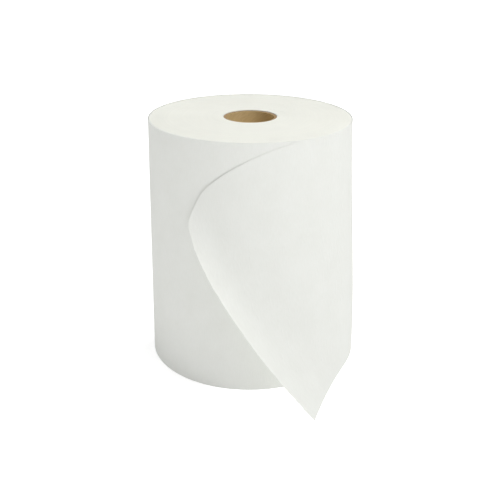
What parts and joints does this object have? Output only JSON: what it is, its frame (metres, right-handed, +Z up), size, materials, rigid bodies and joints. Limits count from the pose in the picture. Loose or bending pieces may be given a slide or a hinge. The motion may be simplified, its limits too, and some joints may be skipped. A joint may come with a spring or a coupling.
{
  "type": "paper towel roll",
  "caption": "White embossed paper towel wound hard on a brown cardboard core, standing on one end, with its loose end swung out over the front.",
  "frame": {"origin": "centre of the core bore at the end face that the roll stands on", "axes": "+Z up along the core's axis, -Y towards the front, where the loose end of the paper hangs, +X to the right seen from the front"},
  "size_m": [0.1703, 0.206, 0.2],
  "materials": {
    "towel_paper": "matte",
    "core_board": "matte"
  },
  "bodies": {
    "root": {"paper_web": "towel_paper", "core_tube": "core_board"}
  },
  "joints": []
}
